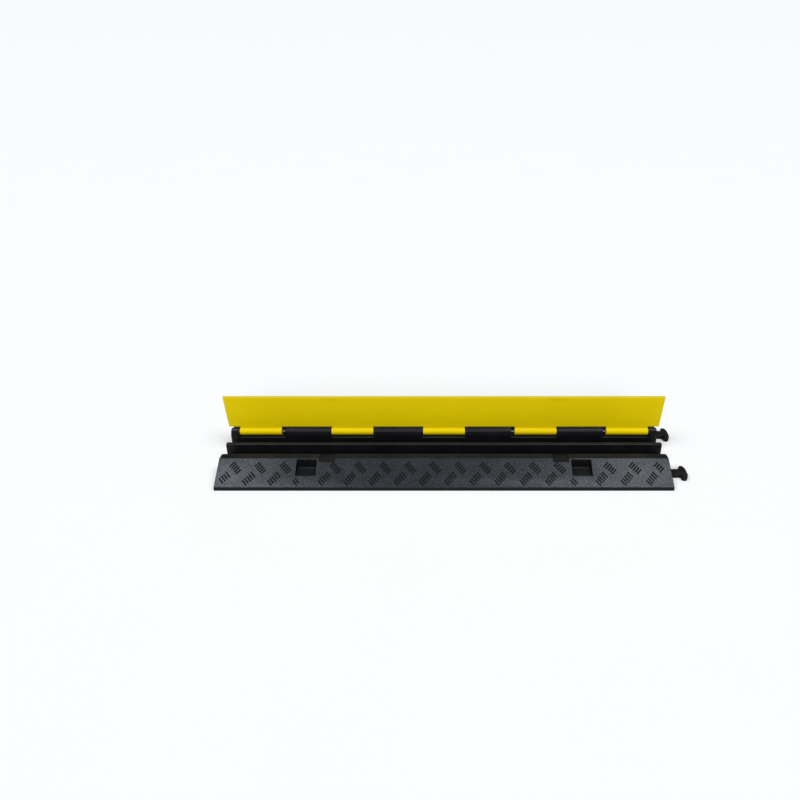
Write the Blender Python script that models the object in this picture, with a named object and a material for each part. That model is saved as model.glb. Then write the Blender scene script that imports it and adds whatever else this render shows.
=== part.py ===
"""Two-channel cable protector: a moulded rubber ramp with a hinged lid, modelled standing open.

Frame: metres, +Z up, the long side along X, the front slope towards -Y. The origin lies in the
underside, midway along the ramp and midway between its front and rear edges.
"""
import math

import bmesh
import bpy
from mathutils import Matrix

# Whole ramp
LENGTH = 1.000
WIDTH = 0.250
EDGE_HEIGHT = 0.008
SLOPE_RUN = 0.0618
LEDGE_HEIGHT = 0.0417
END_DRAFT = 0.070
MIDDLE_DRAFT = 0.130
END_ROUND = 0.0022
LEDGE_END_DROP = 0.0035

# Cable channels, measured from the front edge
LEDGE_BACK = 0.0775
DIVIDER_FRONT = 0.1105
DIVIDER_BACK = 0.1205
RAIL_FRONT = 0.1505
CHANNEL_FLOOR = 0.009
DIVIDER_HEIGHT = 0.041

# Hinge
HINGE_BACK = 0.1605
HINGE_HEIGHT = 0.0415
RAIL_HEIGHT = 0.042
RAIL_WALL = HINGE_BACK + 0.0088
BASE_BARREL_RADIUS = 0.0085
LID_BARREL_RADIUS = 0.0082
BORE_RADIUS = 0.0033
ROD_RADIUS = 0.0030
ROD_LENGTH = 0.982
KNUCKLE_LENGTH = 0.097
KNUCKLE_PITCH = 0.2132
KNUCKLE_GAP = 0.0015
ROD_WINDOW = 0.0080
OPEN_ANGLE = math.radians(94.0)

# Lid, measured closed
LID_LENGTH = 1.001
LID_FRONT = 0.0709
LID_BACK = 0.1485
TAB_BACK = 0.1615
LID_UNDERSIDE = 0.042
LID_TOP = 0.050
LID_ROUND = 0.0012
LIP_LENGTH = 0.030
LIP_DEPTH = 0.0016

# Hand pockets in both slopes, finger notches in the front one
POCKET_X = 0.3025
POCKET_LENGTH = 0.0448
POCKET_FRONT = 0.0245
POCKET_BACK = 0.0586
POCKET_FLOOR = 0.016
POCKET_CHAMFER = 0.002
NOTCH_X = 0.258
NOTCH_LENGTH = 0.0355
NOTCH_FRONT = 0.045
NOTCH_FRONT_FLOOR = 0.0359
NOTCH_BACK = 0.0746
NOTCH_BACK_FLOOR = 0.0389

# End connectors
CONNECTOR_CENTERS = (0.0515, 0.1938)
CONNECTOR_REACH = 0.0405
CONNECTOR_HEIGHT = 0.012
CONNECTOR_ROUND = 0.003
STEM_WIDTH = 0.0185
HEAD_WIDTH = 0.0395
HEAD_DEPTH = 0.0145
SOCKET_CLEARANCE = 0.001

ARC_STEP = math.radians(15.0)


def clear_scene():
    for item in list(bpy.data.objects):
        bpy.data.objects.remove(item, do_unlink=True)


def make_material(name, color, roughness, metallic=0.0):
    material = bpy.data.materials.new(name)
    material.use_nodes = True
    shader = material.node_tree.nodes["Principled BSDF"]
    shader.inputs["Base Color"].default_value = (*color, 1.0)
    shader.inputs["Roughness"].default_value = roughness
    shader.inputs["Metallic"].default_value = metallic
    return material


def arc(center, radius, start, end):
    """Points of an arc, ends included, at even steps of about fifteen degrees."""
    steps = max(2, round(abs(end - start) / ARC_STEP))
    angles = [start + (end - start) * i / steps for i in range(steps + 1)]
    return [(center[0] + radius * math.cos(a), center[1] + radius * math.sin(a)) for a in angles]


def round_corners(corners):
    """A closed outline of (u, v, radius) corners, each corner replaced by its tangent arc."""
    points = []
    count = len(corners)
    for index, (u, v, radius) in enumerate(corners):
        if radius <= 0.0:
            points.append((u, v))
            continue
        before = corners[index - 1]
        after = corners[(index + 1) % count]
        to_before = unit(before[0] - u, before[1] - v)
        to_after = unit(after[0] - u, after[1] - v)
        cosine = to_before[0] * to_after[0] + to_before[1] * to_after[1]
        half = math.acos(max(-1.0, min(1.0, cosine))) / 2
        reach = radius / math.sin(half)
        bisector = unit(to_before[0] + to_after[0], to_before[1] + to_after[1])
        center = (u + bisector[0] * reach, v + bisector[1] * reach)
        tangent = radius / math.tan(half)
        first = (u + to_before[0] * tangent, v + to_before[1] * tangent)
        last = (u + to_after[0] * tangent, v + to_after[1] * tangent)
        start = math.atan2(first[1] - center[1], first[0] - center[0])
        turn = math.atan2(last[1] - center[1], last[0] - center[0]) - start
        turn = (turn + math.pi) % math.tau - math.pi
        points.extend(arc(center, radius, start, start + turn))
    return points


def unit(u, v):
    size = math.hypot(u, v)
    return (u / size, v / size)


def base_profile():
    """Cross-section of the ramp with its hinge barrel, as (y, z) from the front edge."""
    front = round_corners([
        (0.0, 0.0, 0.0),
        (0.0, EDGE_HEIGHT, 0.003),
        (SLOPE_RUN, LEDGE_HEIGHT, 0.006),
        (LEDGE_BACK, LEDGE_HEIGHT, 0.0026),
        (LEDGE_BACK, CHANNEL_FLOOR, 0.003),
        (DIVIDER_FRONT, CHANNEL_FLOOR, 0.003),
        (DIVIDER_FRONT, DIVIDER_HEIGHT, 0.0026),
        (DIVIDER_BACK, DIVIDER_HEIGHT, 0.0026),
        (DIVIDER_BACK, CHANNEL_FLOOR, 0.003),
        (RAIL_FRONT, CHANNEL_FLOOR, 0.003),
        (RAIL_FRONT, 0.0375, 0.0),
    ])
    rise = RAIL_HEIGHT - HINGE_HEIGHT
    barrel = arc((HINGE_BACK, HINGE_HEIGHT), BASE_BARREL_RADIUS, math.pi,
                 math.asin(rise / BASE_BARREL_RADIUS))
    rear = round_corners([
        (HINGE_BACK + BASE_BARREL_RADIUS, RAIL_HEIGHT, 0.0),
        (WIDTH - SLOPE_RUN, RAIL_HEIGHT, 0.006),
        (WIDTH, EDGE_HEIGHT, 0.003),
        (WIDTH, 0.0, 0.0),
    ])
    return front + barrel + rear[1:]


def ledge_share(y, z):
    """One at the rear of the ledge's top, falling to zero below it, before it and behind it."""
    if y > LEDGE_BACK + 0.001:
        return 0.0
    high = max(0.0, min(1.0, (z - 0.036) / 0.005))
    return high * max(0.0, min(1.0, (y - 0.058) / 0.012))


def inward_normals(points):
    """Mitred inward normals of an outline that runs clockwise in (y, z)."""
    normals = []
    count = len(points)
    for index, point in enumerate(points):
        before = points[index - 1]
        after = points[(index + 1) % count]
        first = unit(point[0] - before[0], point[1] - before[1])
        second = unit(after[0] - point[0], after[1] - point[1])
        n_first = (first[1], -first[0])
        n_second = (second[1], -second[0])
        mean = unit(n_first[0] + n_second[0], n_first[1] + n_second[1])
        scale = 1.0 / max(0.5, mean[0] * n_first[0] + mean[1] * n_first[1])
        normals.append((mean[0] * scale, mean[1] * scale))
    return normals


def end_section(points, normals, side, angle):
    """One loop of the rounded end: angle 0 is the end face, a right angle the full outline."""
    loop = []
    for (y, z), (ny, nz) in zip(points, normals):
        drop = LEDGE_END_DROP * ledge_share(y, z)
        inset = END_ROUND * (1.0 - math.sin(angle))
        back = (END_ROUND + drop) * (1.0 - math.cos(angle))
        yy = y + ny * inset
        zz = z + nz * inset - drop * (1.0 - math.sin(angle)) if z > 0.0 else 0.0
        loop.append((side * (LENGTH / 2 - END_DRAFT * zz - back), yy - WIDTH / 2, zz))
    return loop


def finish_mesh(name, mesh_data, material):
    """Makes an object from a bmesh, with its faces pointing out."""
    bmesh.ops.recalc_face_normals(mesh_data, faces=mesh_data.faces[:])
    mesh = bpy.data.meshes.new(name)
    mesh_data.to_mesh(mesh)
    mesh_data.free()
    item = bpy.data.objects.new(name, mesh)
    bpy.context.scene.collection.objects.link(item)
    if material is not None:
        mesh.materials.append(material)
    return item


def loft(name, sections, material=None):
    """A closed solid through a row of loops with equal point counts."""
    shape = bmesh.new()
    rings = [[shape.verts.new(co) for co in loop] for loop in sections]
    count = len(rings[0])
    for near, far in zip(rings, rings[1:]):
        for i in range(count):
            j = (i + 1) % count
            shape.faces.new((near[i], near[j], far[j], far[i]))
    shape.faces.new(rings[0][::-1])
    shape.faces.new(rings[-1])
    return finish_mesh(name, shape, material)


def prism_x(name, outline, x_from, x_to):
    """A cutter with a (y, z) outline measured from the front edge, run along X."""
    loops = [[(x, y - WIDTH / 2, z) for y, z in outline] for x in (x_from, x_to)]
    return loft(name, loops)


def prism_z(name, outline, z_from, z_to):
    """A solid with an (x, y) outline in world coordinates, run along Z."""
    return loft(name, [[(x, y, z) for x, y in outline] for z in (z_from, z_to)])


def cylinder_x(name, y, z, radius, x_from, x_to, segments, material=None):
    """A cylinder along X, centred on world y and z."""
    shape = bmesh.new()
    turn = Matrix.Rotation(math.pi / 2, 4, "Y")
    place = Matrix.Translation(((x_from + x_to) / 2, y, z))
    bmesh.ops.create_cone(shape, cap_ends=True, segments=segments, radius1=radius,
                          radius2=radius, depth=x_to - x_from, matrix=place @ turn)
    return finish_mesh(name, shape, material)


def combine(target, tools, operation):
    """Joins or cuts the target with each tool in turn, then drops the tools."""
    for tool in tools:
        step = target.modifiers.new(tool.name, "BOOLEAN")
        step.operation = operation
        step.solver = "EXACT"
        step.object = tool
    bpy.context.view_layer.update()
    graph = bpy.context.evaluated_depsgraph_get()
    result = bpy.data.meshes.new_from_object(target.evaluated_get(graph))
    target.modifiers.clear()
    target.data = result
    for tool in tools:
        bpy.data.objects.remove(tool, do_unlink=True)


def shade(item, angle=28.0):
    """Smooth shading on round faces, with crisp edges past the given angle in degrees."""
    item.data.shade_smooth()
    item.data.set_sharp_from_angle(angle=math.radians(angle))


def knuckle_spans():
    """The X range of each lid barrel."""
    centers = [KNUCKLE_PITCH * step for step in (-2, -1, 0, 1, 2)]
    return [(c - KNUCKLE_LENGTH / 2, c + KNUCKLE_LENGTH / 2) for c in centers]


def recess_spans():
    """The X range of each rail recess, with a window on the rod beside three of the barrels."""
    spans = []
    for index, (left, right) in enumerate(knuckle_spans()):
        wide_left = ROD_WINDOW if index in (3, 4) else KNUCKLE_GAP
        wide_right = ROD_WINDOW if index == 0 else KNUCKLE_GAP
        spans.append((left - wide_left, right + wide_right))
    return spans


def recess_outline():
    """Space that a lid barrel turns in, open to the rear channel, with a chamfered front lip."""
    radius = RAIL_WALL - HINGE_BACK
    trough = arc((HINGE_BACK, HINGE_HEIGHT), radius, -math.pi / 2, 0.0)
    lip = [(RAIL_FRONT - 0.0025, 0.0276), (RAIL_FRONT + 0.0014, 0.0317)]
    return lip + trough + [(RAIL_WALL, 0.060), (RAIL_FRONT - 0.0025, 0.060)]


def pocket_outline():
    """Hand pocket with upright walls, a level floor and a chamfer where floor meets rear wall."""
    return [
        (POCKET_FRONT, 0.060),
        (POCKET_FRONT, POCKET_FLOOR),
        (POCKET_BACK - POCKET_CHAMFER, POCKET_FLOOR),
        (POCKET_BACK, POCKET_FLOOR + POCKET_CHAMFER),
        (POCKET_BACK, 0.060),
    ]


def pocket_cutters():
    cutters = []
    half = POCKET_LENGTH / 2
    front = pocket_outline()
    rear = [(WIDTH - y, z) for y, z in front]
    for side in (-1, 1):
        x = side * POCKET_X
        cutters.append(prism_x("pocket_front", front, x - half, x + half))
        cutters.append(prism_x("pocket_rear", rear, x - half, x + half))
    return cutters


def notch_cutters():
    """Finger notches across the ledge, each with a floor that rises gently to the rear."""
    outline = [
        (NOTCH_FRONT, 0.060),
        (NOTCH_FRONT, NOTCH_FRONT_FLOOR),
        (NOTCH_BACK, NOTCH_BACK_FLOOR),
        (NOTCH_BACK, 0.060),
    ]
    half = NOTCH_LENGTH / 2
    return [prism_x("notch", outline, side * NOTCH_X - half, side * NOTCH_X + half)
            for side in (-1, 1)]


def end_reliefs():
    """Cutters that lean the ends of the divider and the hinge rail further in than the slopes."""
    y_range = (LEDGE_BACK + 0.0005 - WIDTH / 2, RAIL_WALL - WIDTH / 2)
    foot, top = 0.0085, 0.060
    reach = LENGTH / 2 - 0.0002
    lean = MIDDLE_DRAFT * (top - foot)
    cutters = []
    for side in (-1, 1):
        outline = [(reach, foot), (reach + 0.030, foot), (reach + 0.030, top), (reach - lean, top)]
        loops = [[(side * x, y, z) for x, z in outline] for y in y_range]
        cutters.append(loft("end_relief", loops))
    return cutters


def connector_outline(x_end, y_center, root, grow):
    """Plan of a T-shaped connector that reaches out from x_end, grown by a clearance."""
    stem = STEM_WIDTH / 2 + grow
    head = HEAD_WIDTH / 2 + grow
    neck = x_end + CONNECTOR_REACH - HEAD_DEPTH - grow
    tip = x_end + CONNECTOR_REACH + grow
    half = [
        (x_end - root, stem, 0.0),
        (neck - 0.0005, stem, 0.004),
        (neck + 0.0015, head, 0.004),
        (tip - 0.0035, head, 0.004),
        (tip, head * 0.5, 0.008),
    ]
    mirrored = [(x, -y, radius) for x, y, radius in reversed(half)]
    outline = round_corners(half + mirrored)
    return [(x, y + y_center) for x, y in outline]


def connector_centers():
    return tuple(y - WIDTH / 2 for y in CONNECTOR_CENTERS)


def make_connector(y_center):
    """A T-shaped connector with rounded upper edges, rooted inside the ramp's right end."""
    outline = connector_outline(LENGTH / 2, y_center, 0.020, 0.0)
    item = prism_z("connector", outline, 0.0, CONNECTOR_HEIGHT)
    shape = bmesh.new()
    shape.from_mesh(item.data)
    top = [edge for edge in shape.edges
           if all(vert.co.z > CONNECTOR_HEIGHT - 1e-6 for vert in edge.verts)]
    bmesh.ops.bevel(shape, geom=top, offset=CONNECTOR_ROUND, segments=3, profile=0.5,
                    affect="EDGES")
    shape.to_mesh(item.data)
    shape.free()
    return item


def socket_cutter(y_center):
    """Room for the next ramp's connector, open at the left end and at the underside."""
    outline = connector_outline(-LENGTH / 2, y_center, 0.010, SOCKET_CLEARANCE)
    return prism_z("socket", outline, -0.010, CONNECTOR_HEIGHT + SOCKET_CLEARANCE)


def make_base(material):
    points = base_profile()
    normals = inward_normals(points)
    quarter = [0.0, math.pi / 6, math.pi / 3, math.pi / 2]
    left = [end_section(points, normals, -1, angle) for angle in quarter]
    right = [end_section(points, normals, 1, angle) for angle in reversed(quarter)]
    base = loft("base", left + right, material)
    combine(base, [make_connector(y) for y in connector_centers()], "UNION")
    cutters = [prism_x("recess", recess_outline(), left, right) for left, right in recess_spans()]
    cutters += pocket_cutters()
    cutters += notch_cutters()
    cutters += end_reliefs()
    cutters += [socket_cutter(y) for y in connector_centers()]
    cutters.append(cylinder_x("bore", HINGE_BACK - WIDTH / 2, HINGE_HEIGHT, BORE_RADIUS,
                              -0.52, 0.52, 24))
    combine(base, cutters, "DIFFERENCE")
    shade(base)
    return base


def lid_outline():
    """Plan of the closed lid: a plate whose rear edge carries five tabs."""
    half = LID_LENGTH / 2
    outline = [(half, LID_FRONT), (-half, LID_FRONT), (-half, LID_BACK)]
    for left, right in knuckle_spans():
        outline += [(left, LID_BACK), (left, TAB_BACK), (right, TAB_BACK), (right, LID_BACK)]
    outline.append((half, LID_BACK))
    return [(x, y - WIDTH / 2) for x, y in outline]


def lid_plate():
    """The lid's plate with its tabs, all outer edges rounded over."""
    plate = prism_z("lid", lid_outline(), LID_UNDERSIDE, LID_TOP)
    shape = bmesh.new()
    shape.from_mesh(plate.data)
    rims = [edge for edge in shape.edges if abs(edge.verts[0].co.z - edge.verts[1].co.z) < 1e-6]
    bmesh.ops.bevel(shape, geom=rims, offset=LID_ROUND, segments=2, profile=0.5, affect="EDGES")
    shape.to_mesh(plate.data)
    shape.free()
    return plate


def lid_lips():
    """Small tongues under the lid's front edge, over the finger notches."""
    outline = [
        (LID_FRONT + 0.0004, LID_UNDERSIDE + 0.003),
        (LID_FRONT + 0.0004, LID_UNDERSIDE - LIP_DEPTH),
        (LID_FRONT + 0.0024, LID_UNDERSIDE - LIP_DEPTH),
        (LID_FRONT + 0.0024, LID_UNDERSIDE + 0.003),
    ]
    half = LIP_LENGTH / 2
    return [prism_x("lip", outline, side * NOTCH_X - half, side * NOTCH_X + half)
            for side in (-1, 1)]


def make_lid(material):
    """Models the lid closed, then turns it back about the hinge onto the rail's edge."""
    y = HINGE_BACK - WIDTH / 2
    lid = lid_plate()
    lid.data.materials.append(material)
    barrels = [cylinder_x("barrel", y, HINGE_HEIGHT, LID_BARREL_RADIUS, left, right, 32)
               for left, right in knuckle_spans()]
    combine(lid, barrels + lid_lips(), "UNION")
    combine(lid, [cylinder_x("bore", y, HINGE_HEIGHT, BORE_RADIUS, -0.52, 0.52, 24)], "DIFFERENCE")
    lid.data.transform(Matrix.Translation((0.0, -y, -HINGE_HEIGHT)))
    lid.location = (0.0, y, HINGE_HEIGHT)
    lid.rotation_euler = (-OPEN_ANGLE, 0.0, 0.0)
    shade(lid)
    return lid


def make_rod(material):
    half = ROD_LENGTH / 2
    rod = cylinder_x("hinge_rod", 0.0, 0.0, ROD_RADIUS, -half, half, 20, material)
    rod.location = (0.0, HINGE_BACK - WIDTH / 2, HINGE_HEIGHT)
    shade(rod)
    return rod


def main():
    clear_scene()
    rubber = make_material("black_rubber", (0.045, 0.047, 0.052), 0.55)
    yellow = make_material("yellow_plastic", (0.85, 0.70, 0.015), 0.38)
    steel = make_material("steel", (0.62, 0.62, 0.60), 0.30, 1.0)
    make_base(rubber)
    make_lid(yellow)
    make_rod(steel)


main()
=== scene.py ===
"""Surface, light and camera of a two-channel cable protector that stands with its lid open.

Units are metres. The long side runs along X, the front slope faces -Y, and +Z is up.
"""
import logging
import math
from dataclasses import dataclass, field
from enum import Enum

import bmesh
import bpy
import numpy as np
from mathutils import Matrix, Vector


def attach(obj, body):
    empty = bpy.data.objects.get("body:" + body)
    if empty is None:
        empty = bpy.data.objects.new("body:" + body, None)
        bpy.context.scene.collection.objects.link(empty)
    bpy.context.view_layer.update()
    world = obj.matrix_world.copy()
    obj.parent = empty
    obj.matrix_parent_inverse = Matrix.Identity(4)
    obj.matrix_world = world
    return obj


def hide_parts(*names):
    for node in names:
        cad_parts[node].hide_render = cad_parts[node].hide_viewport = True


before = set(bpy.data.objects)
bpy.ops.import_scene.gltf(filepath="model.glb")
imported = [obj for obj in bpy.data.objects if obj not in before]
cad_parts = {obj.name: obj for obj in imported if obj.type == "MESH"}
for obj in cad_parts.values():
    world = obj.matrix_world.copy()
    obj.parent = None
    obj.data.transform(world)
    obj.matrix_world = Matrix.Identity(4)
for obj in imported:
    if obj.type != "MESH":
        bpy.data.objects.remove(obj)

log = logging.getLogger("cable_protector")

Color = tuple[float, float, float]
Socket = bpy.types.NodeSocket

# Corners closer than this are one corner of a solid.
MERGE_GRID = 2e-6
# Triangles that meet flatter than this are one flat face.
FLAT_ANGLE = math.radians(0.4)
# Faces that meet more sharply than this are shaded apart, on solids and on bars.
SHADE_ANGLE = math.radians(19.0)
BAR_SHADE_ANGLE = math.radians(60.0)
# Edges sharper than this are rounded over.
ROUND_ANGLE = math.radians(32.0)
# Bars that a notch leaves shorter than this are dropped.
SHORTEST_BAR = 0.003


class Body(Enum):
    """The moving bodies that pieces ride on."""

    RAMP = "base"
    LID = "lid"


class Slot(Enum):
    """Material slots of the part."""

    RUBBER = "black_rubber"
    PLASTIC = "yellow_plastic"
    STEEL = "steel"


class Lean(Enum):
    """The way a bar leans, seen from outside with the ramp's edge below."""

    RIGHT = 1
    LEFT = -1


# Shader node helpers


class NodeSheet:
    """A node tree under construction, with short calls that add and join nodes."""

    def __init__(self, tree: bpy.types.NodeTree) -> None:
        """Keeps the tree.

        Args:
            tree: The node tree to add to.
        """
        self.tree = tree

    def add(self, kind: str, **settings: object) -> bpy.types.Node:
        """Adds a node.

        Args:
            kind: Blender's identifier of the node type.
            **settings: Attributes to set on the new node.

        Returns:
            The new node.
        """
        node = self.tree.nodes.new(kind)
        for key, value in settings.items():
            setattr(node, key, value)
        return node

    def feed(self, target: Socket, source: object) -> None:
        """Links a socket to a source socket, or sets it to a value.

        Args:
            target: The input socket.
            source: An output socket, a number, a vector or a colour.
        """
        if isinstance(source, Socket):
            self.tree.links.new(source, target)
        elif target.type == "RGBA" and len(source) == 3:
            target.default_value = (*source, 1.0)
        else:
            target.default_value = source

    def math(self, operation: str, a: object, b: object = 0.0, clamp: bool = False) -> Socket:
        """Adds a Math node.

        Args:
            operation: The node's operation.
            a: First operand, a socket or a number.
            b: Second operand, a socket or a number.
            clamp: Whether the result is held between zero and one.

        Returns:
            The result socket.
        """
        node = self.add("ShaderNodeMath", operation=operation, use_clamp=clamp)
        self.feed(node.inputs[0], a)
        self.feed(node.inputs[1], b)
        return node.outputs[0]

    def ramp(self, value: object, low: float, high: float, out_low: float = 0.0,
             out_high: float = 1.0) -> Socket:
        """Adds a smooth Map Range node.

        Args:
            value: The socket to map.
            low: Input value that gives out_low.
            high: Input value that gives out_high.
            out_low: Result at and below low.
            out_high: Result at and above high.

        Returns:
            The mapped socket.
        """
        node = self.add("ShaderNodeMapRange", interpolation_type="SMOOTHSTEP")
        for index, source in enumerate((value, low, high, out_low, out_high)):
            self.feed(node.inputs[index], source)
        return node.outputs[0]

    def blend(self, share: object, first: object, second: object) -> Socket:
        """Adds a colour Mix node.

        Args:
            share: Share of the second colour.
            first: First colour or socket.
            second: Second colour or socket.

        Returns:
            The mixed colour.
        """
        node = self.add("ShaderNodeMix", data_type="RGBA")
        self.feed(node.inputs[0], share)
        self.feed(node.inputs[6], first)
        self.feed(node.inputs[7], second)
        return node.outputs[2]

    def tinge(self, mask: Socket, amount: float, first: object, second: object) -> Socket:
        """Blends towards the second colour by a mask times an amount.

        Args:
            mask: Where the second colour shows.
            amount: Share of the second colour where the mask is one.
            first: First colour or socket.
            second: Second colour or socket.

        Returns:
            The mixed colour.
        """
        return self.blend(self.math("MULTIPLY", mask, amount), first, second)

    def emboss(self, shader: bpy.types.Node, height: Socket, depth: float) -> None:
        """Feeds a shader's normal from a height pattern.

        Args:
            shader: The Principled node.
            height: The pattern, about zero to one.
            depth: Its depth in metres.
        """
        bump = self.add("ShaderNodeBump")
        bump.inputs["Distance"].default_value = depth
        self.feed(bump.inputs["Height"], height)
        self.feed(shader.inputs["Normal"], bump.outputs["Normal"])

    def noise(self, vector: object, scale: object, detail: float, roughness: float) -> Socket:
        """Adds a Noise Texture node.

        Args:
            vector: Coordinates.
            scale: Cells per metre.
            detail: Number of finer layers.
            roughness: Weight of the finer layers.

        Returns:
            The noise value, about zero to one.
        """
        node = self.add("ShaderNodeTexNoise")
        self.feed(node.inputs["Vector"], vector)
        self.feed(node.inputs["Scale"], scale)
        self.feed(node.inputs["Detail"], detail)
        self.feed(node.inputs["Roughness"], roughness)
        return node.outputs["Fac"]

    def group(self, tree: bpy.types.NodeTree, **values: object) -> dict[str, Socket]:
        """Places a node group and feeds its inputs.

        Args:
            tree: The group's node tree.
            **values: Input sources, with underscores for the spaces in their names.

        Returns:
            The group's output sockets by name.
        """
        node = self.add("ShaderNodeGroup", node_tree=tree)
        for key, source in values.items():
            self.feed(node.inputs[key.replace("_", " ")], source)
        return {socket.name: socket for socket in node.outputs}


class EffectGroup:
    """A shader node group that is built once and placed in several materials."""

    name = "effect"
    inputs: tuple[tuple[str, str, object], ...] = ()
    outputs: tuple[str, ...] = ()

    @classmethod
    def tree(cls) -> bpy.types.NodeTree:
        """Gives the group's node tree, and makes it on the first call.

        Returns:
            The node tree.
        """
        made = bpy.data.node_groups.get(cls.name)
        if made is not None:
            return made
        made = bpy.data.node_groups.new(cls.name, "ShaderNodeTree")
        for label, kind, value in cls.inputs:
            socket = made.interface.new_socket(label, in_out="INPUT", socket_type=kind)
            if value is not None:
                socket.default_value = value
        for label in cls.outputs:
            made.interface.new_socket(label, in_out="OUTPUT", socket_type="NodeSocketFloat")
        sheet = NodeSheet(made)
        entry = sheet.add("NodeGroupInput")
        exit_node = sheet.add("NodeGroupOutput")
        results = cls.wire(sheet, {socket.name: socket for socket in entry.outputs})
        for label, source in results.items():
            sheet.feed(exit_node.inputs[label], source)
        return made

    @classmethod
    def wire(cls, sheet: NodeSheet, given: dict[str, Socket]) -> dict[str, Socket]:
        """Adds the group's nodes.

        Args:
            sheet: The group's tree.
            given: The group's inputs by name.

        Returns:
            The sources of the group's outputs by name.
        """
        raise NotImplementedError


class MouldGrain(EffectGroup):
    """Fine grain left by a blasted mould, with soft cloudy patches under it."""

    name = "mould_grain"
    inputs = (
        ("Place", "NodeSocketVector", None),
        ("Grains per Metre", "NodeSocketFloat", 900.0),
        ("Patches per Metre", "NodeSocketFloat", 30.0),
    )
    outputs = ("Height", "Speckle", "Patch")

    @classmethod
    def wire(cls, sheet: NodeSheet, given: dict[str, Socket]) -> dict[str, Socket]:
        """Height is fine noise, speckle is noise at a third of its rate, patch is broad noise."""
        place = given["Place"]
        rate = given["Grains per Metre"]
        fine = sheet.noise(place, rate, 2.0, 0.6)
        medium = sheet.noise(place, sheet.math("MULTIPLY", rate, 0.34), 3.0, 0.65)
        broad = sheet.noise(place, given["Patches per Metre"], 4.0, 0.55)
        height = sheet.math("ADD", sheet.math("MULTIPLY", fine, 0.6),
                            sheet.math("MULTIPLY", medium, 0.4))
        return {
            "Height": height,
            "Speckle": sheet.ramp(medium, 0.36, 0.66),
            "Patch": sheet.ramp(broad, 0.32, 0.70),
        }


class EdgeRub(EffectGroup):
    """Edges rubbed paler: the angle between the face and a rounded copy of its normal."""

    name = "edge_rub"
    inputs = (
        ("Place", "NodeSocketVector", None),
        ("Width", "NodeSocketFloat", 0.0008),
        ("Breaks per Metre", "NodeSocketFloat", 140.0),
    )
    outputs = ("Mask",)

    @classmethod
    def wire(cls, sheet: NodeSheet, given: dict[str, Socket]) -> dict[str, Socket]:
        """Mask is one minus the two normals' dot product, broken up by noise."""
        rounded = sheet.add("ShaderNodeBevel", samples=4)
        sheet.feed(rounded.inputs["Radius"], given["Width"])
        surface = sheet.add("ShaderNodeNewGeometry")
        turned = sheet.add("ShaderNodeVectorMath", operation="DOT_PRODUCT")
        sheet.feed(turned.inputs[0], rounded.outputs["Normal"])
        sheet.feed(turned.inputs[1], surface.outputs["Normal"])
        edge = sheet.ramp(sheet.math("SUBTRACT", 1.0, turned.outputs["Value"]), 0.01, 0.22)
        breaks = sheet.noise(given["Place"], given["Breaks per Metre"], 3.0, 0.6)
        kept = sheet.ramp(breaks, 0.30, 0.62, 0.25, 1.0)
        return {"Mask": sheet.math("MULTIPLY", edge, kept, clamp=True)}


class SettledDust(EffectGroup):
    """Thin dust on faces that look up."""

    name = "settled_dust"
    inputs = (
        ("Place", "NodeSocketVector", None),
        ("Facing", "NodeSocketVector", None),
        ("Amount", "NodeSocketFloat", 0.1),
    )
    outputs = ("Mask",)

    @classmethod
    def wire(cls, sheet: NodeSheet, given: dict[str, Socket]) -> dict[str, Socket]:
        """Mask is the amount, times how far the face looks up, times drifting noise."""
        split = sheet.add("ShaderNodeSeparateXYZ")
        sheet.feed(split.inputs[0], given["Facing"])
        upward = sheet.ramp(split.outputs["Z"], 0.55, 0.98)
        drift = sheet.noise(given["Place"], 22.0, 5.0, 0.6)
        cover = sheet.math("MULTIPLY", upward, sheet.ramp(drift, 0.25, 0.75, 0.35, 1.0))
        return {"Mask": sheet.math("MULTIPLY", cover, given["Amount"], clamp=True)}


# Finishes


def shade(color: Color, share: float) -> Color:
    """Multiplies a colour by a share."""
    return tuple(part * share for part in color)


@dataclass(frozen=True)
class Finish:
    """What every finish has: a name, a colour and a gloss."""

    name: str
    color: Color
    roughness: float

    def start(self) -> tuple[bpy.types.Material, NodeSheet, bpy.types.Node, bpy.types.Node]:
        """Makes the material with its shader and its coordinates.

        Returns:
            The material, its node sheet, the Principled node and the Texture Coordinate node.
        """
        material = bpy.data.materials.new(self.name)
        material.use_nodes = True
        sheet = NodeSheet(material.node_tree)
        shader = material.node_tree.nodes["Principled BSDF"]
        place = sheet.add("ShaderNodeTexCoord")
        return material, sheet, shader, place


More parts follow.
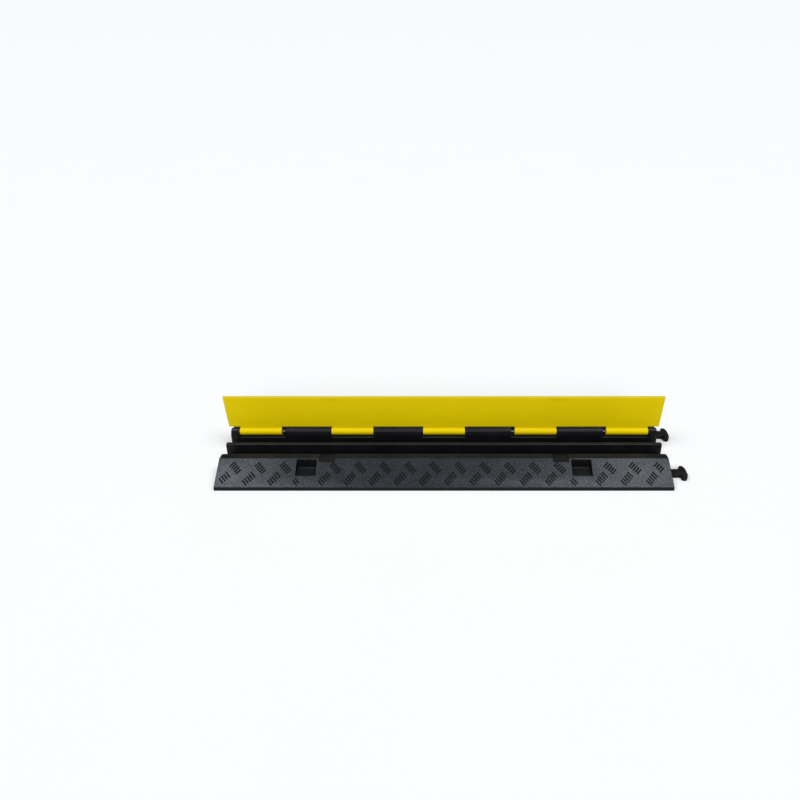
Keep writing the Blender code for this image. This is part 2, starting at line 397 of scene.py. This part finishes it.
@dataclass(frozen=True)
class RubberFinish(Finish):
    """Moulded rubber: grained and greyer on the slopes, with a painted cool reflection there;
    plain and darker elsewhere.
    """

    # The slopes' own dark tone, with a blue cast that is a painted cool reflection of the lights.
    slope_color: Color = (0.0052, 0.0063, 0.0088)
    slope_roughness: float = 0.37
    slope_sheen: float = 0.60
    grain_depth: float = 0.00012
    grain_rate: float = 900.0
    speckle: float = 0.5
    rub_color: Color = (0.060, 0.062, 0.066)
    rub: float = 0.5
    dust: float = 0.03
    dust_color: Color = (0.30, 0.29, 0.27)
    gloss: float = 0.10
    # Coat tint that turns the slopes bluish under their coat: a painted cool reflection.
    painted_cool_tint: Color = (0.84, 0.92, 1.0)
    patch_roughness: float = 0.035
    plain_grain: float = 0.35

    def build(self) -> bpy.types.Material:
        """Makes the material. The slope mask is where the normal leans by the slope's angle.

        Returns:
            The material.
        """
        material, sheet, shader, place = self.start()
        spot = place.outputs["Object"]
        facing = place.outputs["Normal"]
        split = sheet.add("ShaderNodeSeparateXYZ")
        sheet.feed(split.inputs[0], facing)
        lean = sheet.math("ABSOLUTE", split.outputs["Y"])
        upward = sheet.ramp(split.outputs["Z"], 0.76, 0.85)
        slope = sheet.math("MULTIPLY", sheet.ramp(lean, 0.30, 0.42), upward)
        grain = sheet.group(MouldGrain.tree(), Place=spot, Grains_per_Metre=self.grain_rate)
        rubbed = sheet.group(EdgeRub.tree(), Place=spot)
        dusty = sheet.group(SettledDust.tree(), Place=spot, Facing=facing, Amount=self.dust)

        plain = sheet.blend(grain["Patch"], shade(self.color, 0.80), shade(self.color, 1.20))
        # The slopes' colour: the grain's patches and speckle on a blue cast that is a painted cool
        # reflection.
        grained = sheet.blend(grain["Patch"], shade(self.slope_color, 0.86),
                              shade(self.slope_color, 1.14))
        dots = sheet.math("MULTIPLY", grain["Speckle"], self.speckle)
        grained = sheet.blend(dots, grained, shade(self.slope_color, 2.4))
        base = sheet.blend(slope, plain, grained)
        base = sheet.tinge(rubbed["Mask"], self.rub, base, self.rub_color)
        base = sheet.blend(dusty["Mask"], base, self.dust_color)
        sheet.feed(shader.inputs["Base Color"], base)

        gloss = sheet.ramp(slope, 0.0, 1.0, self.roughness, self.slope_roughness)
        uneven = sheet.ramp(grain["Patch"], 0.0, 1.0, -self.patch_roughness,
                            self.patch_roughness)
        sheet.feed(shader.inputs["Roughness"], sheet.math("ADD", gloss, uneven, clamp=True))
        shader.inputs["Specular IOR Level"].default_value = self.gloss
        mottle = sheet.ramp(grain["Speckle"], 0.0, 1.0, 0.6 * self.slope_sheen,
                            1.4 * self.slope_sheen)
        sheet.feed(shader.inputs["Coat Weight"], sheet.math("MULTIPLY", slope, mottle, clamp=True))
        shader.inputs["Coat Roughness"].default_value = self.slope_roughness
        shader.inputs["Coat Tint"].default_value = (*self.painted_cool_tint, 1.0)

        depth = sheet.ramp(slope, 0.0, 1.0, self.plain_grain, 1.0)
        sheet.emboss(shader, sheet.math("MULTIPLY", grain["Height"], depth), self.grain_depth)
        return material


@dataclass(frozen=True)
class PlasticFinish(Finish):
    """Through-coloured moulded plastic with faint clouds, scuffs and rubbed edges."""

    deep: Color = (0.61, 0.438, 0.002)
    cloud: float = 0.20
    speckle: float = 0.05
    rub_color: Color = (0.84, 0.70, 0.04)
    rub: float = 0.55
    scuff: float = 0.05
    scuff_rate: float = 420.0
    scuff_roughness: float = 0.10
    grain_depth: float = 0.00004
    grain_rate: float = 1400.0
    dust: float = 0.015
    dust_color: Color = (0.50, 0.48, 0.42)
    gloss: float = 0.07
    gloss_tint: Color = (1.0, 0.92, 0.30)

    def build(self) -> bpy.types.Material:
        """Makes the material. Scuffs are noise stretched along the lid.

        Returns:
            The material.
        """
        material, sheet, shader, place = self.start()
        spot = place.outputs["Object"]
        grain = sheet.group(MouldGrain.tree(), Place=spot, Grains_per_Metre=self.grain_rate,
                            Patches_per_Metre=14.0)
        rubbed = sheet.group(EdgeRub.tree(), Place=spot, Width=0.0010, Breaks_per_Metre=90.0)
        dusty = sheet.group(SettledDust.tree(), Place=spot, Facing=place.outputs["Normal"],
                            Amount=self.dust)
        stretch = sheet.add("ShaderNodeMapping")
        sheet.feed(stretch.inputs["Vector"], spot)
        stretch.inputs["Scale"].default_value = (0.12, 1.0, 1.0)
        stretch.inputs["Rotation"].default_value = (0.0, 0.21, 0.0)
        streaks = sheet.noise(stretch.outputs["Vector"], self.scuff_rate, 3.0, 0.7)
        scuff = sheet.ramp(streaks, 0.60, 0.74)

        base = sheet.tinge(grain["Patch"], self.cloud, self.color, self.deep)
        base = sheet.tinge(grain["Speckle"], self.speckle, base, self.deep)
        base = sheet.tinge(scuff, self.scuff, base, self.rub_color)
        base = sheet.tinge(rubbed["Mask"], self.rub, base, self.rub_color)
        base = sheet.blend(dusty["Mask"], base, self.dust_color)
        sheet.feed(shader.inputs["Base Color"], base)
        rough = sheet.ramp(grain["Patch"], 0.0, 1.0, self.roughness - 0.04, self.roughness + 0.04)
        duller = sheet.math("MULTIPLY", scuff, self.scuff_roughness)
        sheet.feed(shader.inputs["Roughness"], sheet.math("ADD", rough, duller, clamp=True))
        shader.inputs["Specular IOR Level"].default_value = self.gloss
        shader.inputs["Specular Tint"].default_value = (*self.gloss_tint, 1.0)
        sheet.emboss(shader, grain["Height"], self.grain_depth)
        return material


@dataclass(frozen=True)
class SteelFinish(Finish):
    """Drawn steel: fine lines along the rod and slight tarnish."""

    tarnish: Color = (0.30, 0.28, 0.25)
    tarnish_share: float = 0.5
    bright: Color = (0.75, 0.75, 0.74)
    line_rate: float = 3000.0
    line_depth: float = 0.00002

    def build(self) -> bpy.types.Material:
        """Makes the material. Lines are noise stretched forty times along X.

        Returns:
            The material.
        """
        material, sheet, shader, place = self.start()
        stretch = sheet.add("ShaderNodeMapping")
        sheet.feed(stretch.inputs["Vector"], place.outputs["Object"])
        stretch.inputs["Scale"].default_value = (0.025, 1.0, 1.0)
        lines = sheet.noise(stretch.outputs["Vector"], self.line_rate, 2.0, 0.5)
        spots = sheet.ramp(sheet.noise(place.outputs["Object"], 60.0, 4.0, 0.6), 0.50, 0.75)
        rubbed = sheet.group(EdgeRub.tree(), Place=place.outputs["Object"], Width=0.0004)
        base = sheet.tinge(spots, self.tarnish_share, self.color, self.tarnish)
        base = sheet.blend(rubbed["Mask"], base, self.bright)
        sheet.feed(shader.inputs["Base Color"], base)
        shader.inputs["Metallic"].default_value = 1.0
        sheet.feed(shader.inputs["Roughness"],
                   sheet.ramp(lines, 0.3, 0.7, self.roughness - 0.08, self.roughness + 0.10))
        sheet.emboss(shader, lines, self.line_depth)
        return material


# Shapes


def mesh_from_arrays(name: str, points: np.ndarray, faces: list[np.ndarray]) -> bpy.types.Object:
    """Puts whole arrays into a mesh and links its object at the origin.

    Args:
        name: Name of the object and its mesh.
        points: Vertex places, one row each.
        faces: Arrays of vertex indices, each with one face per row.

    Returns:
        The new object.
    """
    mesh = bpy.data.meshes.new(name)
    sizes = np.concatenate([np.full(len(part), part.shape[1]) for part in faces])
    corners = np.concatenate([part.ravel() for part in faces])
    mesh.vertices.add(len(points))
    mesh.vertices.foreach_set("co", points.astype(np.float32).ravel())
    mesh.loops.add(len(corners))
    mesh.loops.foreach_set("vertex_index", corners.astype(np.int32))
    mesh.polygons.add(len(sizes))
    starts = np.concatenate([[0], np.cumsum(sizes)[:-1]])
    mesh.polygons.foreach_set("loop_start", starts.astype(np.int32))
    mesh.update(calc_edges=True)
    mesh.validate()
    item = bpy.data.objects.new(name, mesh)
    bpy.context.scene.collection.objects.link(item)
    return item


def merged_copy(node: str, name: str, edge: float) -> bpy.types.Object:
    """Copies a solid with its shared corners merged, its flat faces whole and its edges rounded.

    Args:
        node: Name of the solid to copy.
        name: Name of the copy.
        edge: Width of the small rounding on sharp edges, or zero for none.

    Returns:
        The copy, at the origin.
    """
    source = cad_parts[node].data
    places = np.empty(len(source.vertices) * 3, np.float32)
    source.vertices.foreach_get("co", places)
    places = places.reshape(-1, 3)
    corners = np.empty(len(source.loops), np.int32)
    source.loops.foreach_get("vertex_index", corners)
    _, first, place_of = np.unique(np.round(places / MERGE_GRID).astype(np.int64), axis=0,
                                   return_index=True, return_inverse=True)
    faces = place_of.reshape(-1)[corners].reshape(-1, 3)
    whole = ((faces[:, 0] != faces[:, 1]) & (faces[:, 1] != faces[:, 2])
             & (faces[:, 2] != faces[:, 0]))
    item = mesh_from_arrays(name, places[first], [faces[whole]])
    shape = bmesh.new()
    shape.from_mesh(item.data)
    bmesh.ops.dissolve_limit(shape, angle_limit=FLAT_ANGLE, verts=shape.verts[:],
                             edges=shape.edges[:])
    shape.to_mesh(item.data)
    shape.free()
    item.data.shade_smooth()
    item.data.set_sharp_from_angle(angle=SHADE_ANGLE)
    if edge > 0.0:
        rounding = item.modifiers.new("rounded_edges", "BEVEL")
        rounding.width = edge
        rounding.segments = 2
        rounding.limit_method = "ANGLE"
        rounding.angle_limit = ROUND_ANGLE
        rounding.harden_normals = True
    return item


def dress(item: bpy.types.Object, material: bpy.types.Material, body: Body) -> None:
    """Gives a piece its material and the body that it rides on.

    Args:
        item: The piece.
        material: Its finish.
        body: The body that it rides on.
    """
    item.data.materials.clear()
    item.data.materials.append(material)
    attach(item, body.value)
    log.info("%s: %d faces, rides on %s", item.name, len(item.data.polygons), body.value)


@dataclass(frozen=True)
class Facet:
    """A flat face that bars stand on, as an origin and three unit directions."""

    origin: Vector
    along: Vector
    up: Vector
    out: Vector

    def place(self, points: np.ndarray) -> np.ndarray:
        """Turns (along, up, out) distances into places.

        Args:
            points: Distances, in an array whose last axis has length three.

        Returns:
            Places in the same shape.
        """
        axes = np.array([self.along, self.up, self.out], float)
        return np.array(self.origin, float) + points @ axes


@dataclass(frozen=True)
class BarShape:
    """A low bar with round ends and a crowned back."""

    length: float
    width: float
    height: float
    sunk: float = 0.0004

    def surface(self) -> tuple[np.ndarray, np.ndarray, np.ndarray]:
        """Works out one bar as rings carried along its length.

        Each ring is a flattened half circle closed by a level underside. Its width follows a
        quarter circle towards both ends, so the ends are round, and its height falls with it.

        Returns:
            Points as (along the bar, across it, out), then the side faces and the end faces.
        """
        radius = self.width / 2
        turn = np.radians([14.0, 48.0, 90.0, 90.0, 48.0, 14.0])
        side = np.array([-1.0, -1.0, -1.0, 1.0, 1.0, 1.0])
        middle = side * self.length / 2
        along = middle + side * radius * np.cos(turn)
        share = np.sin(turn)
        across = np.radians([0.0, 38.0, 72.0, 108.0, 142.0, 180.0])
        y = np.concatenate([np.cos(across), [-1.0, 1.0]])
        z = np.concatenate([self.height * np.sin(across) ** 0.7, [-self.sunk, -self.sunk]])
        rise = np.concatenate([np.ones(6), [0.0, 0.0]])
        lift = 1.0 - rise[None, :] * (1.0 - share[:, None] ** 0.8)
        points = np.stack([
            np.broadcast_to(along[:, None], (6, 8)),
            radius * share[:, None] * y[None, :],
            z[None, :] * lift,
        ], axis=-1).reshape(-1, 3)
        ring, spot = np.meshgrid(np.arange(5), np.arange(8), indexing="ij")
        a = (ring * 8 + spot).ravel()
        b = (ring * 8 + (spot + 1) % 8).ravel()
        sides = np.stack([a, b, b + 8, a + 8], axis=-1)[:, ::-1]
        ends = np.stack([np.arange(8), np.arange(8)[::-1] + 40])
        return points, sides, ends


@dataclass(frozen=True)
class BarRow:
    """A row of bar groups along the ramp, measured on its face."""

    start: float
    pitch: float
    count: int
    height: float
    angle: float
    step: tuple[float, float]
    length: float
    bars: int = 5
    absent: tuple[int, ...] = ()
    kept: dict[int, tuple[int, int]] = field(default_factory=dict)

    def bar_places(self) -> np.ndarray:
        """Lists the row's bars.

        Returns:
            Rows of (along, up, angle, length).
        """
        group, bar = np.meshgrid(np.arange(self.count), np.arange(self.bars), indexing="ij")
        first = np.zeros(self.count)
        last = np.full(self.count, self.bars)
        for index, (low, high) in self.kept.items():
            first[index], last[index] = low, high
        last[list(self.absent)] = 0
        shown = (bar >= first[:, None]) & (bar < last[:, None])
        away = bar - (self.bars - 1) / 2
        along = self.start + group * self.pitch + away * self.step[0]
        up = self.height + away * self.step[1]
        angle = np.full_like(along, self.angle)
        length = np.full_like(along, self.length)
        return np.stack([along, up, angle, length], axis=-1)[shown]


def trim_at_notches(bars: np.ndarray, centers: tuple[float, ...], half: float,
                    limit: float) -> np.ndarray:
    """Shortens bars whose upper end would run into a notch.

    Args:
        bars: Rows of (along, up, angle, length).
        centers: Middle of each notch along the ramp.
        half: Half of a notch's length, with its margin.
        limit: Height on the face where the bars stop.

    Returns:
        The bars with the long ones moved down and shortened.
    """
    reach = bars[:, 3] / 2
    top = bars[:, 1] + reach * np.abs(np.sin(bars[:, 2]))
    near = np.zeros(len(bars), bool)
    for center in centers:
        near |= np.abs(bars[:, 0] + reach * np.cos(bars[:, 2]) - center) < half
    cut = np.where(near & (top > limit), (top - limit) / np.abs(np.sin(bars[:, 2])), 0.0)
    sign = np.sign(np.sin(bars[:, 2]))
    result = bars.copy()
    result[:, 3] -= cut
    result[:, 0] -= sign * cut / 2 * np.cos(bars[:, 2])
    result[:, 1] -= sign * cut / 2 * np.sin(bars[:, 2])
    return result[result[:, 3] > SHORTEST_BAR]


def raise_bars(name: str, facet: Facet, shape: BarShape, bars: np.ndarray) -> bpy.types.Object:
    """Makes one mesh of bars on a facet.

    Every bar is the same ring surface, stretched to its own length between its round ends,
    turned by its angle about the facet's outward direction and moved to its place.

    Args:
        name: Name of the piece.
        facet: The face that the bars stand on.
        shape: The bar to repeat.
        bars: Rows of (along, up, angle, length).

    Returns:
        The piece.
    """
    points, sides, ends = shape.surface()
    extra = (bars[:, 3] - shape.length)[:, None] / 2 * np.sign(points[:, 0])[None, :]
    run = points[:, 0][None, :] + extra
    cosine = np.cos(bars[:, 2])[:, None]
    sine = np.sin(bars[:, 2])[:, None]
    across = points[:, 1][None, :]
    local = np.stack([
        bars[:, 0][:, None] + run * cosine - across * sine,
        bars[:, 1][:, None] + run * sine + across * cosine,
        np.broadcast_to(points[:, 2][None, :], run.shape),
    ], axis=-1)
    shift = (np.arange(len(bars)) * len(points))[:, None, None]
    item = mesh_from_arrays(name, facet.place(local).reshape(-1, 3),
                            [(sides[None] + shift).reshape(-1, 4),
                             (ends[None] + shift).reshape(-1, 8)])
    item.data.shade_smooth()
    item.data.set_sharp_from_angle(angle=BAR_SHADE_ANGLE)
    return item


# Sub-assemblies


@dataclass
class Ramp:
    """The rubber ramp with its slopes, channels, pockets, connectors and raised tread."""

    half_width: float = 0.125
    edge_height: float = 0.008
    slope_run: float = 0.0618
    slope_rise: float = 0.0337
    edge: float = 0.0004
    bar: BarShape = BarShape(length=0.0123, width=0.0036, height=0.0009)
    notch_center: float = 0.258
    notch_half: float = 0.0203
    notch_limit: float = 0.0582
    rubber: RubberFinish = RubberFinish("ramp_rubber", (0.0058, 0.0060, 0.0068), 0.40)
    # The tread is the ramp's rubber painted darker: painted shade for the shaded sides and dark
    # reflections of the raised bars.
    tread: RubberFinish = RubberFinish("tread_painted_shade", (0.0036, 0.0038, 0.0046), 0.42,
                                       slope_color=(0.0036, 0.0038, 0.0046),
                                       slope_roughness=0.42, slope_sheen=0.0,
                                       grain_depth=0.00003, speckle=0.1, rub=0.10, dust=0.01)

    def slope(self, side: int) -> Facet:
        """Gives one slope as a facet that starts at its lower edge.

        Args:
            side: -1 for the front slope, 1 for the rear one.

        Returns:
            The facet.
        """
        size = math.hypot(self.slope_run, self.slope_rise)
        cosine, sine = self.slope_run / size, self.slope_rise / size
        return Facet(
            origin=Vector((0.0, side * self.half_width, self.edge_height)),
            along=Vector((-side, 0.0, 0.0)),
            up=Vector((0.0, -side * cosine, sine)),
            out=Vector((0.0, side * sine, cosine)),
        )

    def rows(self) -> tuple[BarRow, BarRow]:
        """Gives the upper and lower row of bar groups on a slope.

        Returns:
            The two rows.
        """
        upper = BarRow(start=-0.4575, pitch=0.05478, count=18, height=0.0465,
                       angle=Lean.RIGHT.value * math.radians(47.0), step=(0.00385, -0.00438),
                       length=0.0123, absent=(3, 14), kept={17: (0, 4)})
        lower = BarRow(start=-0.4803, pitch=0.05490, count=18, height=0.0214,
                       angle=Lean.LEFT.value * math.radians(50.0), step=(0.00408, 0.00478),
                       length=0.0131, kept={0: (1, 5), 3: (0, 2), 14: (0, 2)})
        return upper, lower

    def build(self) -> None:
        """Makes the ramp's body and the tread of both slopes, and dresses them."""
        rubber = self.rubber.build()
        tread = self.tread.build()
        body = merged_copy("base", "ramp_body", self.edge)
        dress(body, rubber, Body.RAMP)
        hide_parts("base")
        bars = np.concatenate([row.bar_places() for row in self.rows()])
        centers = (-self.notch_center, self.notch_center)
        trimmed = trim_at_notches(bars, centers, self.notch_half, self.notch_limit)
        for side, name, placed in ((-1, "tread_front", trimmed), (1, "tread_rear", bars)):
            item = raise_bars(name, self.slope(side), self.bar, placed)
            dress(item, tread, Body.RAMP)


@dataclass
class Lid:
    """The yellow lid with its hinge barrels, lips and the faint tread on its top."""

    hinge: tuple[float, float] = (0.0355, 0.0415)
    open_angle: float = math.radians(-94.0)
    front: float = -0.0541
    top: float = 0.050
    half_length: float = 0.486
    edge: float = 0.0003
    rows: tuple[float, ...] = (0.0155, 0.0390, 0.0625)
    pitch: float = 0.0430
    start: float = -0.4730
    groups: int = 23
    bar: BarShape = BarShape(length=0.0125, width=0.0022, height=0.00045)
    bar_step: float = 0.0044
    plastic: PlasticFinish = PlasticFinish("lid_plastic", (0.71, 0.538, 0.001), 0.36)

    def top_face(self) -> Facet:
        """Gives the lid's top, laid closed and then turned back about the hinge.

        Returns:
            The facet, which starts at the front edge and runs to the hinge.
        """
        cosine, sine = math.cos(self.open_angle), math.sin(self.open_angle)
        y, z = self.front - self.hinge[0], self.top - self.hinge[1]
        return Facet(
            origin=Vector((0.0, self.hinge[0] + y * cosine - z * sine,
                           self.hinge[1] + y * sine + z * cosine)),
            along=Vector((1.0, 0.0, 0.0)),
            up=Vector((0.0, cosine, sine)),
            out=Vector((0.0, -sine, cosine)),
        )

    def bar_places(self) -> np.ndarray:
        """Lists the lid's bars: columns of groups that lean right and left in turn.

        Returns:
            Rows of (along, up, angle, length).
        """
        parts = []
        for height in self.rows:
            for shift, lean in enumerate((Lean.RIGHT, Lean.LEFT)):
                row = BarRow(start=self.start + shift * self.pitch, pitch=2 * self.pitch,
                             count=(self.groups + 1 - shift) // 2, height=height,
                             angle=lean.value * math.radians(45.0),
                             step=(self.bar_step, -lean.value * self.bar_step),
                             length=self.bar.length)
                parts.append(row.bar_places())
        bars = np.concatenate(parts)
        return bars[np.abs(bars[:, 0]) < self.half_length]

    def build(self) -> None:
        """Makes the lid and its tread, and dresses them."""
        plastic = self.plastic.build()
        cover = merged_copy("lid", "lid_cover", self.edge)
        dress(cover, plastic, Body.LID)
        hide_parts("lid")
        tread = raise_bars("lid_tread", self.top_face(), self.bar, self.bar_places())
        dress(tread, plastic, Body.LID)


@dataclass
class HingeRod:
    """The steel rod through the barrels."""

    steel: SteelFinish = SteelFinish("rod_steel", (0.15, 0.15, 0.17), 0.50)
    edge: float = 0.0004

    def build(self) -> None:
        """Makes the rod with its ends rounded over, and dresses it."""
        rod = merged_copy("hinge_rod", "hinge_rod_drawn", self.edge)
        dress(rod, self.steel.build(), Body.RAMP)
        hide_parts("hinge_rod")


@dataclass(frozen=True)
class SoftSun:
    """A broad, far light that reaches the whole floor evenly.

    Its place in the sky is given by two leans in degrees from straight above: to the right, and
    towards the camera.
    """

    name: str
    right: float
    toward_camera: float
    spread: float
    strength: float
    color: Color = (1.0, 1.0, 1.0)

    def build(self) -> None:
        """Adds the light."""
        light = bpy.data.lights.new(self.name, "SUN")
        light.energy = self.strength
        light.angle = math.radians(self.spread)
        light.color = self.color
        item = bpy.data.objects.new(self.name, light)
        bpy.context.scene.collection.objects.link(item)
        source = Vector((math.tan(math.radians(self.right)),
                         -math.tan(math.radians(self.toward_camera)), 1.0))
        item.rotation_euler = (-source).to_track_quat("-Z", "Y").to_euler()


@dataclass
class Studio:
    """Floor, soft light and camera."""

    floor_size: float = 150.0
    floor_level: float = -0.0002
    floor_color: Color = (0.925, 0.905, 0.89)
    sky: Color = (1.0, 1.0, 1.0)
    sky_strength: float = 0.13
    backdrop_strength: float = 0.94
    camera_place: tuple[float, float, float] = (0.0, -1.0895, 0.8809)
    pitch: float = 37.9
    lens: float = 27.0
    shift: tuple[float, float] = (-0.055, 0.05435)
    lights: tuple[SoftSun, ...] = (
        SoftSun("left_light", right=-35.0, toward_camera=8.0, spread=26.0, strength=1.24,
                color=(0.89, 0.95, 1.0)),
        SoftSun("right_light", right=28.5, toward_camera=8.0, spread=29.0, strength=1.27,
                color=(0.89, 0.95, 1.0)),
        SoftSun("front_light", right=0.0, toward_camera=52.0, spread=36.0, strength=1.60),
    )

    def floor(self) -> None:
        """Lays a round pale floor: rings of points whose radius grows by the cube."""
        rings, spokes = 16, 48
        radius = self.floor_size * (np.arange(1, rings + 1) / rings) ** 3
        angle = np.arange(spokes) * math.tau / spokes
        ring = np.stack([radius[:, None] * np.cos(angle)[None, :],
                         radius[:, None] * np.sin(angle)[None, :],
                         np.full((rings, spokes), self.floor_level)], axis=-1).reshape(-1, 3)
        row, spot = np.meshgrid(np.arange(rings - 1), np.arange(spokes), indexing="ij")
        a = (row * spokes + spot).ravel()
        b = (row * spokes + (spot + 1) % spokes).ravel()
        quads = np.stack([a, a + spokes, b + spokes, b], axis=-1)
        item = mesh_from_arrays("studio_floor", ring, [quads, np.arange(spokes)[None, :]])
        finish = Finish("floor_paper", self.floor_color, 0.9)
        material, sheet, shader, place = finish.start()
        cloud = sheet.noise(place.outputs["Object"], 3.0, 3.0, 0.5)
        sheet.feed(shader.inputs["Base Color"],
                   sheet.blend(cloud, self.floor_color, shade(self.floor_color, 1.01)))
        shader.inputs["Roughness"].default_value = finish.roughness
        shader.inputs["Specular IOR Level"].default_value = 0.1
        item.data.materials.append(material)

    def world(self) -> None:
        """Surrounds the scene with faint even light that looks pale behind the floor's edge."""
        world = bpy.data.worlds.new("studio_world")
        world.use_nodes = True
        sheet = NodeSheet(world.node_tree)
        back = world.node_tree.nodes["Background"]
        back.inputs["Color"].default_value = (*self.sky, 1.0)
        seen = sheet.add("ShaderNodeLightPath").outputs["Is Camera Ray"]
        sheet.feed(back.inputs["Strength"],
                   sheet.ramp(seen, 0.0, 1.0, self.sky_strength, self.backdrop_strength))
        bpy.context.scene.world = world

    def camera(self) -> None:
        """Puts the camera where the photograph was taken from."""
        data = bpy.data.cameras.new("camera")
        data.sensor_width = 36.0
        data.lens = self.lens
        data.shift_x, data.shift_y = self.shift
        data.clip_end = 1000.0
        item = bpy.data.objects.new("camera", data)
        bpy.context.scene.collection.objects.link(item)
        item.location = self.camera_place
        item.rotation_euler = (math.radians(90.0 - self.pitch), 0.0, 0.0)
        bpy.context.scene.camera = item

    def build(self) -> None:
        """Sets up the floor, the lights, the camera and the plain colour view."""
        self.floor()
        self.world()
        self.camera()
        for light in self.lights:
            light.build()
        bpy.context.scene.view_settings.view_transform = "Standard"
        bpy.context.scene.view_settings.look = "None"
        log.info("studio: %d lights", len(self.lights))


def main() -> None:
    """Builds the studio and the pieces in order."""
    logging.basicConfig(level=logging.INFO, format="%(message)s")
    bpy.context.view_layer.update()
    Studio().build()
    for assembly in (Ramp(), Lid(), HingeRod()):
        log.info("building %s", type(assembly).__name__)
        assembly.build()


if __name__ == "__main__":
    main()
